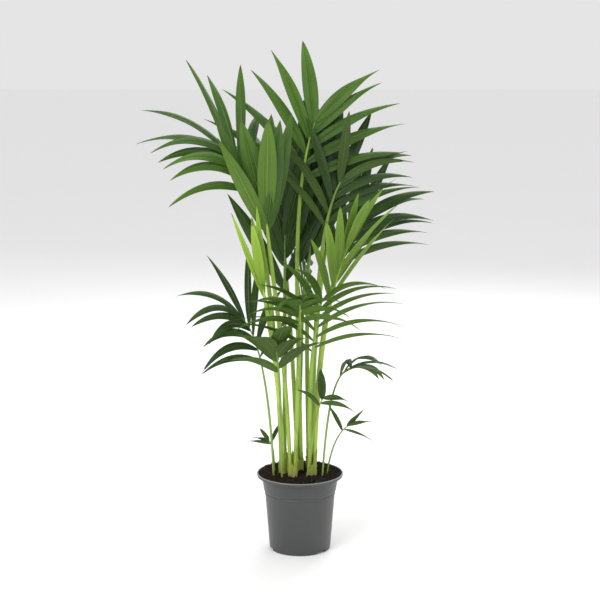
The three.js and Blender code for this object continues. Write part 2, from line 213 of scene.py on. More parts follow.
board, tree = new_finish("matt_board")
cloud = tree.mottle(tree.place(), 3)
tree.shows(tree.add("ShaderNodeBsdfPrincipled", sockets={
    "Base Color": tree.mixed(cloud, FLOOR_PALE, FLOOR_DEEP),
    "Roughness": 0.9,
    "Specular IOR Level": 0.2,
}))
half = FLOOR_HALF
floor = new_piece("floor", [(-half, -half, 0), (half, -half, 0), (half, half, 0),
                            (-half, half, 0)], [(0, 1, 2, 3)])
floor.data.materials.append(board)
floor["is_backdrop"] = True

# The pot: one injection moulding in grey polypropylene, with a thin upright rim, a collar over a
# small step, a tapered body, and a foot ring with notches that let the water out.
MM = 0.001
POT_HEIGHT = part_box("pot")[1].z
RIM_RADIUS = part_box("pot")[1].x
COLLAR_RADIUS = 83.5 * MM
COLLAR_FOOT_RADIUS = 79.25 * MM
BODY_RADIUS = 77 * MM
FOOT_RADIUS = 66 * MM
WALL = 1.8 * MM
RIM_FOOT = POT_HEIGHT - 9 * MM
COLLAR_FOOT = RIM_FOOT - 28 * MM
STEP_FOOT = COLLAR_FOOT - 3 * MM
FOOT_HEIGHT = 4 * MM
FLOOR_TOP = 6.4 * MM
POT_SIDES = 224
DRAINS = 6
DRAIN_RADIUS = 5.5 * MM
DRAIN_CIRCLE = 40 * MM
NOTCHES = 3
NOTCH_WIDTH = 25 * MM
NOTCH_HEIGHT = 5.6 * MM
NOTCH_TURN = math.radians(75)
PLASTIC = (0.046, 0.047, 0.047, 1)
PLASTIC_WORN = (0.07, 0.071, 0.071, 1)
# A much lighter grey, painted along the top of the rim as a highlight.
PLASTIC_PAINTED_HIGHLIGHT = (0.24, 0.24, 0.24, 1)


def eased(corners, radius, steps=3):
    """An outline with its corners rounded, each by no more than a third of its sides."""
    outline = [corners[0]]
    for before, corner, after in zip(corners, corners[1:], corners[2:]):
        here = Vector(corner)
        back = Vector(before) - here
        on = Vector(after) - here
        reach = min(radius, back.length / 3, on.length / 3)
        start = here + back.normalized() * reach
        end = here + on.normalized() * reach
        for step in range(steps + 1):
            share = step / steps
            bend = start.lerp(here, share).lerp(here.lerp(end, share), share)
            outline.append(tuple(bend))
    return [*outline, corners[-1]]


def turned(name, outline, sides):
    """A closed solid of revolution. The outline goes from the axis below to the axis above."""
    points = [(0, 0, outline[0][1])]
    for radius, height in outline[1:-1]:
        for side in range(sides):
            angle = 2 * math.pi * side / sides
            points.append((radius * math.cos(angle), radius * math.sin(angle), height))
    points.append((0, 0, outline[-1][1]))
    top = len(points) - 1
    rows = len(outline) - 2
    faces = []
    for side in range(sides):
        beyond = (side + 1) % sides
        faces.append((0, 1 + beyond, 1 + side))
        for row in range(rows - 1):
            low = 1 + row * sides
            high = low + sides
            faces.append((low + side, low + beyond, high + beyond, high + side))
        last = 1 + (rows - 1) * sides
        faces.append((last + side, last + beyond, top))
    return new_piece(name, points, faces)


def settle(piece, sharp=40):
    """Takes a piece's modifiers into its mesh and shades it smooth up to an angle."""
    graph = bpy.context.evaluated_depsgraph_get()
    made = bpy.data.meshes.new_from_object(
        piece.evaluated_get(graph), preserve_all_data_layers=True, depsgraph=graph)
    piece.modifiers.clear()
    piece.data = made
    made.polygons.foreach_set("use_smooth", [True] * len(made.polygons))
    made.set_sharp_from_angle(angle=math.radians(sharp))


outside = [
    (0, 0), (18 * MM, 0), (20 * MM, FOOT_HEIGHT), (FOOT_RADIUS - 5 * MM, FOOT_HEIGHT),
    (FOOT_RADIUS - 5 * MM, 0), (FOOT_RADIUS, 0), (FOOT_RADIUS, FOOT_HEIGHT),
    (FOOT_RADIUS + 1 * MM, FOOT_HEIGHT + 1 * MM), (BODY_RADIUS - 0.5 * MM, STEP_FOOT - 6 * MM),
    (BODY_RADIUS + 0.5 * MM, STEP_FOOT - 5.2 * MM), (BODY_RADIUS + 0.5 * MM, STEP_FOOT - 3.6 * MM),
    (BODY_RADIUS - 0.2 * MM, STEP_FOOT - 2.8 * MM), (BODY_RADIUS, STEP_FOOT),
    (COLLAR_FOOT_RADIUS, COLLAR_FOOT), (COLLAR_RADIUS, RIM_FOOT),
    (RIM_RADIUS - 1.2 * MM, RIM_FOOT + WALL), (RIM_RADIUS, POT_HEIGHT - 2 * MM),
    (RIM_RADIUS - 0.6 * MM, POT_HEIGHT), (RIM_RADIUS - 2.8 * MM, POT_HEIGHT),
]
inside = [
    (RIM_RADIUS - 1.6 * MM - WALL, RIM_FOOT + 2 * WALL), (COLLAR_RADIUS - WALL, RIM_FOOT + WALL),
    (COLLAR_FOOT_RADIUS - WALL, COLLAR_FOOT), (BODY_RADIUS - WALL, STEP_FOOT),
    (FOOT_RADIUS - WALL, FLOOR_TOP), (0, FLOOR_TOP),
]
pot = turned("grey_pot", eased(outside + inside, 0.9 * MM), POT_SIDES)

cutters = []
for drain in range(DRAINS):
    angle = 2 * math.pi * (drain + 0.5) / DRAINS
    bpy.ops.mesh.primitive_cylinder_add(
        vertices=48, radius=DRAIN_RADIUS, depth=4 * FLOOR_TOP,
        location=(DRAIN_CIRCLE * math.cos(angle), DRAIN_CIRCLE * math.sin(angle), FLOOR_TOP))
    cutters.append(bpy.context.object)
for notch in range(NOTCHES):
    angle = NOTCH_TURN + 2 * math.pi * notch / NOTCHES
    bpy.ops.mesh.primitive_cube_add(
        size=1, scale=(4 * FOOT_HEIGHT, NOTCH_WIDTH, 2 * NOTCH_HEIGHT), rotation=(0, 0, angle),
        location=(FOOT_RADIUS * math.cos(angle), FOOT_RADIUS * math.sin(angle), 0))
    cutters.append(bpy.context.object)
for cutter in cutters:
    cut = pot.modifiers.new(cutter.name, "BOOLEAN")
    cut.object = cutter
    cut.solver = "EXACT"
settle(pot, 35)
for cutter in cutters:
    bpy.data.objects.remove(cutter)

plastic, tree = new_finish("satin_polypropylene")
flow = tree.mottle(tree.place((1, 1, 0.12)), 70, 4)
scuff = tree.mottle(tree.place((1, 1, 6)), 26, 5, 0.62)
skin = tree.mottle(tree.place(), 900, 2)
height = tree.add("ShaderNodeSeparateXYZ", sockets={0: tree.place()}, out="Z")
worn = scuff.rise(0.56, 0.74) * 0.18 + flow * 0.22
# The top few millimetres of the rim are mixed towards a much lighter grey: a painted highlight where
# the rim's top faces the lights above.
lit_rim_top = height.rise(POT_HEIGHT - 2.2 * MM, POT_HEIGHT - 0.6 * MM)
tree.shows(tree.add("ShaderNodeBsdfPrincipled", sockets={
    "Base Color": tree.mixed(lit_rim_top * 0.8, tree.mixed(worn, PLASTIC, PLASTIC_WORN), PLASTIC_PAINTED_HIGHLIGHT),
    "Roughness": 0.36 + flow * 0.06 + scuff * 0.04,
    "Specular IOR Level": 0.5,
    "Normal": tree.relief(flow * 0.5 + skin * 0.25, 0.2 * MM, 0.5),
}))
pot.data.materials.clear()
pot.data.materials.append(plastic)
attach(pot, "root")
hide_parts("pot")

# The soil: dark peat and bark pressed in by hand, a little below the rim, loose and lumpy on top.
# A bed with a rough surface carries crumbs of a few kinds, strewn over it.
SOIL_TOP = POT_HEIGHT - 4 * MM
SOIL_MOUND = 3 * MM
SOIL_GAP = 0.4 * MM
SOIL_SIDES = 200
SOIL_ROWS = 60
HEAP_AT_BACK = 5.5 * MM
ROUGH_HEIGHT = 2.2 * MM
HEAP_HEIGHT = 3 * MM
STREWN_REACH = 0.965
CRUMB_SIZE = 2.6 * MM
CRUMB_SPACING = 1.9 * MM
PEAT = (0.009, 0.0056, 0.0038, 1)
PEAT_DRY = (0.036, 0.023, 0.015, 1)
BARK = (0.075, 0.046, 0.027, 1)


def between(first, last, share):
    return first + (last - first) * share


def lump(name, seed, stretch):
    """A crumb of a few dozen faces."""
    outline = [(math.sin(math.pi * row / 5), -math.cos(math.pi * row / 5)) for row in range(6)]
    crumb = turned(name, outline, 8)
    for vertex in crumb.data.vertices:
        bulge = 1 + 0.55 * noise.noise(vertex.co * 1.3 + Vector((seed, 0, 0)))
        vertex.co = Vector(a * b * bulge for a, b in zip(vertex.co, stretch))
    return crumb


def crumbs_tree(kinds):
    group = bpy.data.node_groups.new("strewn_crumbs", "GeometryNodeTree")
    socket = group.interface.new_socket
    socket("Geometry", in_out="INPUT", socket_type="NodeSocketGeometry")
    socket("Crumb size", in_out="INPUT", socket_type="NodeSocketFloat")
    socket("Spacing", in_out="INPUT", socket_type="NodeSocketFloat")
    socket("Seed", in_out="INPUT", socket_type="NodeSocketInt")
    socket("Finish", in_out="INPUT", socket_type="NodeSocketMaterial")
    socket("Geometry", in_out="OUTPUT", socket_type="NodeSocketGeometry")
    tree = Tree(group)
    given = group.nodes.new("NodeGroupInput")
    bed, size, spacing, seed, finish = (Value(tree, given.outputs[k]) for k in range(5))
    surface = tree.add("GeometryNodeInputNamedAttribute", sockets={"Name": "surface"})
    points = tree.add("GeometryNodeDistributePointsOnFaces", {"distribute_method": "POISSON"}, {
        "Mesh": bed, "Selection": surface, "Distance Min": spacing,
        "Density Max": 400000, "Seed": seed})
    join = group.nodes.new("GeometryNodeJoinGeometry")
    for kind in kinds:
        crumb = tree.add("GeometryNodeObjectInfo", sockets={"Object": kind}, out="Geometry")
        whole = tree.add("GeometryNodeGeometryToInstance", sockets={0: crumb})
        group.links.new(whole.socket, join.inputs[0])
    turn = tree.add("FunctionNodeRandomValue", {"data_type": "FLOAT_VECTOR"}, {
        0: (0, 0, 0), 1: (math.tau, math.tau, math.tau), "Seed": seed})
    grade = tree.add("FunctionNodeRandomValue", {"data_type": "FLOAT"}, {
        2: 0.3, 3: 1.15, "Seed": seed + 1}, 1)
    strewn = tree.add("GeometryNodeInstanceOnPoints", sockets={
        "Points": points, "Instance": Value(tree, join.outputs[0]), "Pick Instance": True,
        "Rotation": turn, "Scale": grade ** 2 * size})
    both = group.nodes.new("GeometryNodeJoinGeometry")
    group.links.new(strewn.socket, both.inputs[0])
    group.links.new(bed.socket, both.inputs[0])
    real = tree.add("GeometryNodeRealizeInstances", sockets={0: Value(tree, both.outputs[0])})
    done = tree.add("GeometryNodeSetMaterial", sockets={"Geometry": real, "Material": finish})
    tree.add("NodeGroupOutput", sockets={0: done})
    return group


def apply_tree(piece, group, inputs, sharp=40):
    """Runs a tree on a piece, with its named inputs, and keeps the plain mesh that comes out."""
    modifier = piece.modifiers.new(group.name, "NODES")
    modifier.node_group = group
    for item in group.interface.items_tree:
        if item.in_out == "INPUT" and item.name in inputs:
            modifier[item.identifier] = inputs[item.name]
    settle(piece, sharp)


edge = inside[0][0] - SOIL_GAP
bed_outline = [(0, FLOOR_TOP + SOIL_GAP)]
for radius, height in reversed(inside[:-1]):
    bed_outline.append((radius - SOIL_GAP, height + SOIL_GAP))
for row in range(SOIL_ROWS):
    share = 1 - row / SOIL_ROWS
    bed_outline.append((edge * share, SOIL_TOP + SOIL_MOUND * (1 - share ** 2)))
bed_outline.append((0, SOIL_TOP + SOIL_MOUND))
soil = turned("potting_soil", bed_outline, SOIL_SIDES)
surface = soil.data.attributes.new("surface", "FLOAT", "POINT")
for vertex, mark in zip(soil.data.vertices, surface.data):
    if vertex.co.z < SOIL_TOP - 0.1 * MM:
        continue
    reach = vertex.co.xy.length / edge
    mark.value = 1 if reach < STREWN_REACH else 0
    rough = noise.fractal(vertex.co * 90, 0.7, 2.1, 5)
    heap = noise.noise(vertex.co * 38 + Vector((4, 0, 0))) + 0.2
    back = max(0, vertex.co.y / edge)
    inward = min(1, (1 - reach) * 9)
    raised = ROUGH_HEIGHT * rough + HEAP_HEIGHT * heap + HEAP_AT_BACK * back
    vertex.co.z += raised * between(0.35, 1, inward)

earth, tree = new_finish("dark_peat")
grain = tree.mottle(tree.place(), 420, 6, 0.7)
patch = tree.mottle(tree.place(), 60, 3)
bits = tree.mottle(tree.place((1, 1, 2)), 230, 2).rise(0.66, 0.72)
dry = tree.mixed((grain + patch * 0.8 - 0.55).rise(0.2, 0.75), PEAT, PEAT_DRY)
tree.shows(tree.add("ShaderNodeBsdfPrincipled", sockets={
    "Base Color": tree.mixed(bits * 0.5, dry, BARK),
    "Roughness": 0.8 + grain * 0.18,
    "Specular IOR Level": 0.25,
    "Normal": tree.relief(grain, 1.2 * MM, 0.8),
}))
kinds = [
    lump("crumb_round", 1, (1, 0.85, 0.75)),
    lump("crumb_flat", 2, (1.25, 0.9, 0.4)),
    lump("crumb_long", 3, (2.3, 0.4, 0.35)),
    lump("crumb_big", 4, (1.7, 1.35, 1.1)),
]
apply_tree(soil, crumbs_tree(kinds), {
    "Crumb size": CRUMB_SIZE, "Spacing": CRUMB_SPACING, "Seed": 5, "Finish": earth})
for kind in kinds:
    bpy.data.objects.remove(kind)
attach(soil, "root")
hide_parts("soil")

# The fronds: each grew as one piece, a stalk that comes up out of the soil, thins to a midrib and
# carries leaflets in pairs. Every stalk follows a bend from its seedling's foot, and the leaflets
# follow one rule, with a share of chance that is the same each time for a frond's name.
PETIOLE_RADIUS = 3.6
PETIOLE_SWELL = 0.3
RACHIS_TIP_RADIUS = 1
PLANTED = 38
RING_CLEARANCE = 0.3
BLADE_TURN = 0.85
SWING = math.radians(4)
MOST_SWINGS = 5
SHORTER = (1, 0.85, 0.7, 0.55)
TIP_MATCH = 0.2
STALK_ROWS = 84
BLADE_ROWS = 34
TIP_SAG = 0.055  # of a leaflet's length
BLADE_TWIST = 0.16
THINNEST = 0.14
UP = Vector((0, 0, 1))
SOIL_LEVEL = SOIL_TOP / MM
SEEDLINGS = {
    "left": ((-36, -8), 3), "mid_left": ((-16, -30), 2), "centre": ((-2, 8), 3),
    "right": ((26, -18), 2), "back_right": ((24, 24), 4), "small_left": ((-56, -22), 1),
    "small_left_inner": ((-38, -36), 1), "sprig_left": ((-54, 10), 1),
    "small_right": ((46, -26), 1), "small_right_inner": ((8, -38), 1),
    "sprig_right": ((54, 0), 1),
}


class Frond:
    """One frond's growth: sizes in millimetres, angles in degrees, heights from the soil."""

    def __init__(self, name, seedling, stands, bend, bare, pairs, blade, spread, droop, facing,
                 tone, lift=0, taper=0.25, flare=0.25, thick=1):
        self.name = name
        self.seedling = seedling
        self.bare = bare
        self.pairs = pairs
        self.blade = blade
        self.spread = spread
        self.droop = droop
        self.facing = math.radians(facing)
        self.tone = tone
        self.lift = lift
        self.taper = taper
        self.flare = flare
        self.thick = thick
        at, stalks = SEEDLINGS[seedling]
        self.single = stalks == 1
        around = (PETIOLE_RADIUS * thick + RING_CLEARANCE) / math.sin(math.pi / stalks)
        ring = 0 if self.single else around
        angle = math.radians(stands)
        foot = Vector((at[0] + ring * math.cos(angle), at[1] + ring * math.sin(angle), -PLANTED))
        self.bend = [place + UP * SOIL_LEVEL for place in (foot, *map(Vector, bend))]

    def point(self, t):
        a, b, c, d = self.bend
        u = 1 - t
        return a * u ** 3 + b * (3 * u * u * t) + c * (3 * u * t * t) + d * t ** 3

    def heading(self, t):
        a, b, c, d = self.bend
        u = 1 - t
        return ((b - a) * u * u + (c - b) * (2 * u * t) + (d - c) * t * t).normalized()

    def radius(self, t):
        if t < self.bare:
            swell = PETIOLE_SWELL * math.sin(math.pi * t / self.bare)
            return self.thick * PETIOLE_RADIUS * (1 + swell)
        share = (t - self.bare) / (1 - self.bare)
        return between(self.thick * PETIOLE_RADIUS, max(1, self.thick) * RACHIS_TIP_RADIUS, share)


def dice(name):
    """Throws between -1 and 1, the same ones each time for a name."""
    state = sum(map(ord, name)) * 7919

    def roll():
        nonlocal state
        state = state * 16807 % 2147483647
        return state / 2147483647 * 2 - 1

    return roll


# A frond's tone picks its finishes. The dark tone paints shade on fronds at the back and low under
# the others.
FRONDS = [
    Frond("tall_centre", "centre", 0, ((4, 12, 254), (-32, 20, 594), (32, 25, 766)),
          0.78, 5, (250, 31), (54, 21), 0.3, 0, "mature", lift=-4, taper=0.2, flare=0.35),
    Frond("left_arching", "left", 180, ((-44, -10, 314), (-80, -35, 654), (-150, -48, 706)),
          0.76, 6, (228, 30), (50, 16), 0.8, 50, "mature", taper=0, flare=0),
    Frond("left_broad", "mid_left", 200, ((-27, -35, 284), (-60, -60, 434), (-70, -75, 574)),
          0.92, 4, (245, 46), (20, 4), 0.05, 10, "broad", taper=0.1, flare=0),
    Frond("dark_back_left", "left", 60, ((-33, 8, 254), (-34, 34, 414), (-32, 56, 564)),
          0.66, 4, (240, 46), (26, 10), 0.1, -10, "dark", flare=0),
    Frond("dark_centre_right", "back_right", 210, ((15, 26, 254), (10, 70, 434), (30, 66, 584)),
          0.74, 4, (270, 56), (20, 4), 0.1, 0, "dark", taper=0.05, flare=0),
    Frond("right_high", "back_right", 300, ((31, 12, 284), (30, 20, 574), (98, 34, 654)),
          0.72, 6, (220, 24), (42, 16), 0.6, 11, "dark", flare=0.15),
    Frond("right_light", "right", 30, ((38, -16, 214), (46, -42, 374), (100, -85, 514)),
          0.72, 5, (225, 24), (24, 6), 0.4, 35, "light", flare=0.1),
    Frond("right_low_dark", "back_right", 30, ((38, 32, 214), (44, 80, 434), (140, 120, 554)),
          0.74, 6, (230, 26), (38, 14), 0.6, 10, "dark", flare=0.1),
    Frond("left_spear", "left", 300, ((-38, -22, 174), (-60, -60, 314), (-78, -70, 424)),
          0.93, 2, (200, 20), (9, 3), 0, 0, "young", flare=0),
    Frond("left_low", "small_left", 0, ((-60, -40, 134), (-78, -60, 324), (-125, -80, 364)),
          0.62, 6, (190, 22), (52, 16), 1.2, 50, "dark", taper=0.1, thick=0.55),
    Frond("left_low_inner", "small_left_inner", 0,
          ((-42, -60, 134), (-40, -80, 234), (-50, -115, 304)),
          0.76, 3, (130, 36), (40, 16), 0.8, 0, "dark", thick=0.6),
    Frond("low_centre", "mid_left", 20, ((-6, -40, 174), (0, -90, 334), (0, -160, 404)),
          0.82, 4, (150, 34), (60, 25), 1, 0, "mature"),
    Frond("right_low", "right", 210, ((18, -24, 164), (20, -72, 304), (46, -112, 402)),
          0.66, 6, (230, 18), (54, 24), 0.95, 0, "mature", flare=0.3),
    Frond("right_small", "small_right", 0, ((56, -30, 124), (66, -25, 229), (108, -22, 242)),
          0.8, 3, (165, 26), (40, 20), 1.2, 60, "dark", thick=0.5),
    Frond("right_small_inner", "small_right_inner", 315,
          ((30, -44, 94), (34, -45, 164), (50, -50, 181)),
          0.8, 2, (90, 18), (60, 30), 0.9, 0, "dark", thick=0.45),
    Frond("right_sprig", "sprig_right", 340, ((62, -20, 44), (75, -25, 96), (105, -30, 117)),
          0.84, 2, (75, 13), (60, 12), 0.3, 0, "dark", thick=0.4),
    Frond("left_sprig", "sprig_left", 200, ((-58, 0, 34), (-56, -2, 69), (-68, -5, 76)),
          0.8, 2, (62, 12), (50, 35), 0.3, 0, "dark", thick=0.4),
    Frond("back_left", "centre", 240, ((-12, 12, 254), (-34, 75, 534), (-62, 235, 654)),
          0.7, 6, (220, 32), (50, 18), 0.5, 60, "mature"),
    Frond("back_right", "back_right", 120, ((24, 40, 254), (50, 110, 514), (90, 250, 604)),
          0.7, 6, (220, 32), (50, 18), 0.5, 110, "mature"),
    Frond("back_low", "centre", 120, ((-1, 24, 174), (4, 120, 334), (12, 250, 434)),
          0.7, 5, (190, 30), (50, 20), 0.8, 80, "dark"),
]

SWINGS = [(0, 0)]
for step in range(1, MOST_SWINGS + 1):
    for lift, turn in ((1, 0), (-1, 0), (0, 1), (0, -1), (1, 1), (-1, -1), (1, -1), (-1, 1)):
        SWINGS.append((lift * step * SWING, turn * step * SWING))


def blade_width(s):
    rise, fall = 0.68, 0.82
    widest = rise / (rise + fall)
    full = widest ** rise * (1 - widest) ** fall
    return 0.95 * s ** rise * (1 - s) ** fall / full + 0.1 * (1 - s) ** 5


class Leaflet:
    """A leaflet as the frond's rule grows it. The throws of the dice keep this order."""

    def __init__(self, frond, pair, side, roll):
        late = 0 if side < 0 else 0.35
        place = min(1, (pair + late) / (frond.pairs - 0.65))
        t = frond.bare + (1 - frond.bare) * place
        share = pair / (frond.pairs - 1)
        heading = frond.heading(t)
        across = Vector((math.cos(frond.facing), math.sin(frond.facing), 0))
        across -= heading * across.dot(heading)
        self.base = frond.point(t)
        self.heading = heading
        self.across = across.normalized()
        self.side = side
        self.face = self.across.cross(heading)
        self.turn = math.radians(between(*frond.spread, share) + 4 * roll())
        self.lift = math.radians(frond.lift + 6 * roll())
        self.length = frond.blade[0] * (1 - frond.taper * share) * (1 + 0.08 * roll())
        self.width = frond.blade[1] * (0.75 + 0.25 * share) * (1 + 0.1 * roll())
        self.sag = frond.droop * (1 + 0.3 * roll())
        self.flare = frond.flare * (1 - 0.6 * share)

    def course(self, swing, shorter):
        """Its way out at the stalk and at the tip, and the points that its bend follows."""
        lift = self.lift + swing[0]
        turn = self.turn + swing[1]
        out = self.heading * math.cos(turn) + self.across * (self.side * math.sin(turn))
        start = (out * math.cos(lift) + self.face * math.sin(lift)).normalized()
        level = math.sqrt(max(0, 1 - start.z ** 2))
        end = start + self.across * (self.side * self.flare) - UP * (self.sag * (0.3 + 0.7 * level))
        end.normalize()
        middle = self.base + start * (self.length * shorter / 2)
        return start, end, middle, middle + end * (self.length * shorter / 2)

    def fitted(self, known_tips):
        """The course that reaches a tip of the CAD frond, where it kept clear of its neighbours."""
        for shorter in SHORTER:
            for swing in SWINGS:
                course = self.course(swing, shorter)
                if known_tips.find(course[3])[2] < TIP_MATCH:
                    return course
        return None

    def rows(self, course, wave):
        """Points along the midrib, each with the way the blade spreads and half its width."""
        start, end, middle, tip = course
        rows = []
        for row in range(BLADE_ROWS):
            s = row / (BLADE_ROWS - 1)
            way = start.lerp(end, s).normalized()
            wide = self.face.cross(way).normalized()
            flat = UP.cross(way)
            level = flat.length
            if level > 0.05:
                flat /= math.copysign(level, flat.dot(wide))
                wide = wide.lerp(flat, BLADE_TURN * s * min(1, 1.5 * level)).normalized()
            ridge = way.cross(wide)
            twist = BLADE_TWIST * math.sin(math.tau * (1.1 * s + wave)) * s
            wide = (wide + ridge * twist).normalized()
            centre = self.base * (1 - s) ** 2 + middle * (2 * s * (1 - s)) + tip * s ** 2
            centre = centre - UP * (TIP_SAG * self.length * level * s ** 3)
            rows.append((centre, wide, max(THINNEST, self.width * blade_width(s) / 2), s))
        centre, wide, _, _ = rows[BLADE_ROWS // 2]
        shown = start.lerp(end, 0.5).cross(wide)
        if shown.z - 0.3 * shown.y < 0:
            rows = [(centre, -wide, half, s) for centre, wide, half, s in rows]
        return rows


# The blades: thin leathery leaves with a raised midrib, folded a little like a roof and pleated
# along their parallel veins. One tree gives a stalk its round skin and a blade its folded one.
LEAF_STEPS = 22
STALK_SIDES = 16
BLADE_THICKNESS = 0.022
BLADE_FOLD = 0.17
PLEATS = 5
PLEAT_DEPTH = 0.036
MIDRIB_DEPTH = 0.045


def frond_tree():
    group = bpy.data.node_groups.new("grown_frond", "GeometryNodeTree")
    socket = group.interface.new_socket
    socket("Geometry", in_out="INPUT", socket_type="NodeSocketGeometry")
    socket("Stalk sides", in_out="INPUT", socket_type="NodeSocketInt")
    socket("Steps across", in_out="INPUT", socket_type="NodeSocketInt")
    socket("Thickness", in_out="INPUT", socket_type="NodeSocketFloat")
    socket("Fold", in_out="INPUT", socket_type="NodeSocketFloat")
    socket("Pleats", in_out="INPUT", socket_type="NodeSocketFloat")
    socket("Pleat depth", in_out="INPUT", socket_type="NodeSocketFloat")
    socket("Midrib", in_out="INPUT", socket_type="NodeSocketFloat")
    socket("Stalk finish", in_out="INPUT", socket_type="NodeSocketMaterial")
    socket("Leaf finish", in_out="INPUT", socket_type="NodeSocketMaterial")
    socket("Geometry", in_out="OUTPUT", socket_type="NodeSocketGeometry")
    tree = Tree(group)
    given = group.nodes.new("NodeGroupInput")
    lines, sides, steps, thickness, fold, pleats, depth, midrib, stalk_finish, leaf_finish = (
        Value(tree, given.outputs[k]) for k in range(10))

    def named(name, kind="FLOAT"):
        return tree.add("GeometryNodeInputNamedAttribute", {"data_type": kind}, {"Name": name})

    parts = group.nodes.new("GeometryNodeSeparateGeometry")
    parts.domain = "POINT"
    group.links.new(lines.socket, parts.inputs["Geometry"])
    group.links.new(named("blade").socket, parts.inputs["Selection"])
    half = named("half")

    stalk = tree.add("GeometryNodeMeshToCurve", sockets={"Mesh": Value(tree, parts.outputs[1])})
    circle = tree.add("GeometryNodeCurvePrimitiveCircle", sockets={"Resolution": sides, "Radius": 1})
    stalk_skin = tree.add("GeometryNodeCurveToMesh", sockets={
        "Curve": stalk, "Profile Curve": circle, "Scale": half, "Fill Caps": True})

    ring = tree.add("GeometryNodeCurvePrimitiveCircle",
                    sockets={"Resolution": steps * 2, "Radius": 1})
    index = tree.add("GeometryNodeInputIndex")
    across = abs(index / steps * 2 - 2) - 1
    above = index.math("LESS_THAN", steps)
    out = abs(across)
    roof = fold * (1 - out)
    pleat = depth * (across * pleats * math.tau).math("COSINE") * (1 - out ** 3)
    rib = midrib * (1 - out * 11).math("MAXIMUM", 0)
    skin = (above * 2 - 1) * (thickness * (1 - out ** 4) + rib)
    section = tree.add("ShaderNodeCombineXYZ", sockets={"X": across, "Y": roof + pleat + skin})
    profile = tree.add("GeometryNodeSetPosition", sockets={"Geometry": ring, "Position": section})
    profile = tree.add("GeometryNodeStoreNamedAttribute", sockets={
        "Geometry": profile, "Name": "across", "Value": across})
    profile = tree.add("GeometryNodeStoreNamedAttribute", sockets={
        "Geometry": profile, "Name": "under", "Value": 1 - above})
    blade = tree.add("GeometryNodeMeshToCurve", sockets={"Mesh": Value(tree, parts.outputs[0])})
    blade = tree.add("GeometryNodeSetCurveNormal", {"mode": "FREE"}, {
        "Curve": blade, "Normal": named("wide", "FLOAT_VECTOR")})
    blade_skin = tree.add("GeometryNodeCurveToMesh", sockets={
        "Curve": blade, "Profile Curve": profile, "Scale": half, "Fill Caps": True})

    whole = group.nodes.new("GeometryNodeJoinGeometry")
    group.links.new(blade_skin.socket, whole.inputs[0])
    group.links.new(stalk_skin.socket, whole.inputs[0])
    real = tree.add("GeometryNodeRealizeInstances", sockets={0: Value(tree, whole.outputs[0])})
    made = tree.add("GeometryNodeSetMaterial", sockets={
        "Geometry": real, "Material": stalk_finish})
    made = tree.add("GeometryNodeSetMaterial", sockets={
        "Geometry": made, "Selection": named("blade"), "Material": leaf_finish})
    tree.add("NodeGroupOutput", sockets={0: made})
    return group


def srgb(red, green, blue):
    """A colour on a scene's scale, from the way a paint chart gives it."""
    levels = [level / 255 for level in (red, green, blue)]
    return (*(((level + 0.055) / 1.055) ** 2.4 for level in levels), 1)


def leaf_finish(name, deep, fresh, glow, sheen):
    """Waxy leaf skin: veins along the blade, painted shade in the pleat furrows, paler below and at
    the midrib, dry at some tips.
    """
    material, tree = new_finish(name)
    across = tree.attribute("across")
    along = tree.attribute("along")
    chance = tree.attribute("chance")
    under = tree.attribute("under")
    fibre = tree.add("ShaderNodeCombineXYZ", sockets={
        "X": across * 9, "Y": along * 1.4, "Z": chance * 37})
    streak = tree.mottle(fibre, 2.2, 4, 0.6)
    blotch = tree.mottle(tree.place(), 26, 3)
    body = 1 - along.rise(0.55, 0.95)
    veins = (across * 22 * math.pi).math("COSINE") * 0.5 + 0.5
    painted_furrow_shade = 0.5 - (across * PLEATS * math.tau).math("COSINE") * 0.5
    tone = chance * 0.5 + streak * 0.35 + blotch * 0.35 + along * 0.12 - 0.2
    colour = tree.mixed(tone.rise(0, 1), deep, fresh)
    # shade is a darker green: the veins' own darker colour, and painted shade in the valleys of the
    # pleats.
    shade = tuple(part * 0.55 for part in deep[:3])
    # Painted shade: the valleys between the pleats, where the fold hides them from the light, are
    # darkened.
    colour = tree.mixed(painted_furrow_shade ** 3 * body * 0.5, colour, (*shade, 1))
    colour = tree.mixed(veins ** 4 * body * 0.22, colour, (*shade, 1))
    pale = tuple(between(a, b, 0.45) for a, b in zip(fresh, srgb(170, 196, 84)))
    colour = tree.mixed(under * 0.22, colour, pale)
    rib = 1 - abs(across).rise(0.02, 0.07)
    colour = tree.mixed(rib * 0.6, colour, pale)
    dry = (along + streak * 0.05).rise(0.95, 1.01) * chance.rise(0.3, 0.6)
    colour = tree.mixed(dry, colour, srgb(112, 82, 42))
    ridges = (veins * 0.5 + streak * 0.35) * body + rib * 0.6
    waxy = tree.add("ShaderNodeBsdfPrincipled", sockets={
        "Base Color": colour,
        "Roughness": sheen + streak * 0.14 + under * 0.16 + dry * 0.2,
        "Specular IOR Level": 0.5,
        "Normal": tree.relief(ridges, 0.5 * MM, 0.45),
    })
    lit_through = tree.add("ShaderNodeBsdfTranslucent", sockets={"Color": glow})
    tree.shows(tree.add("ShaderNodeMixShader", sockets={0: 0.3, 1: waxy, 2: lit_through}))
    return material


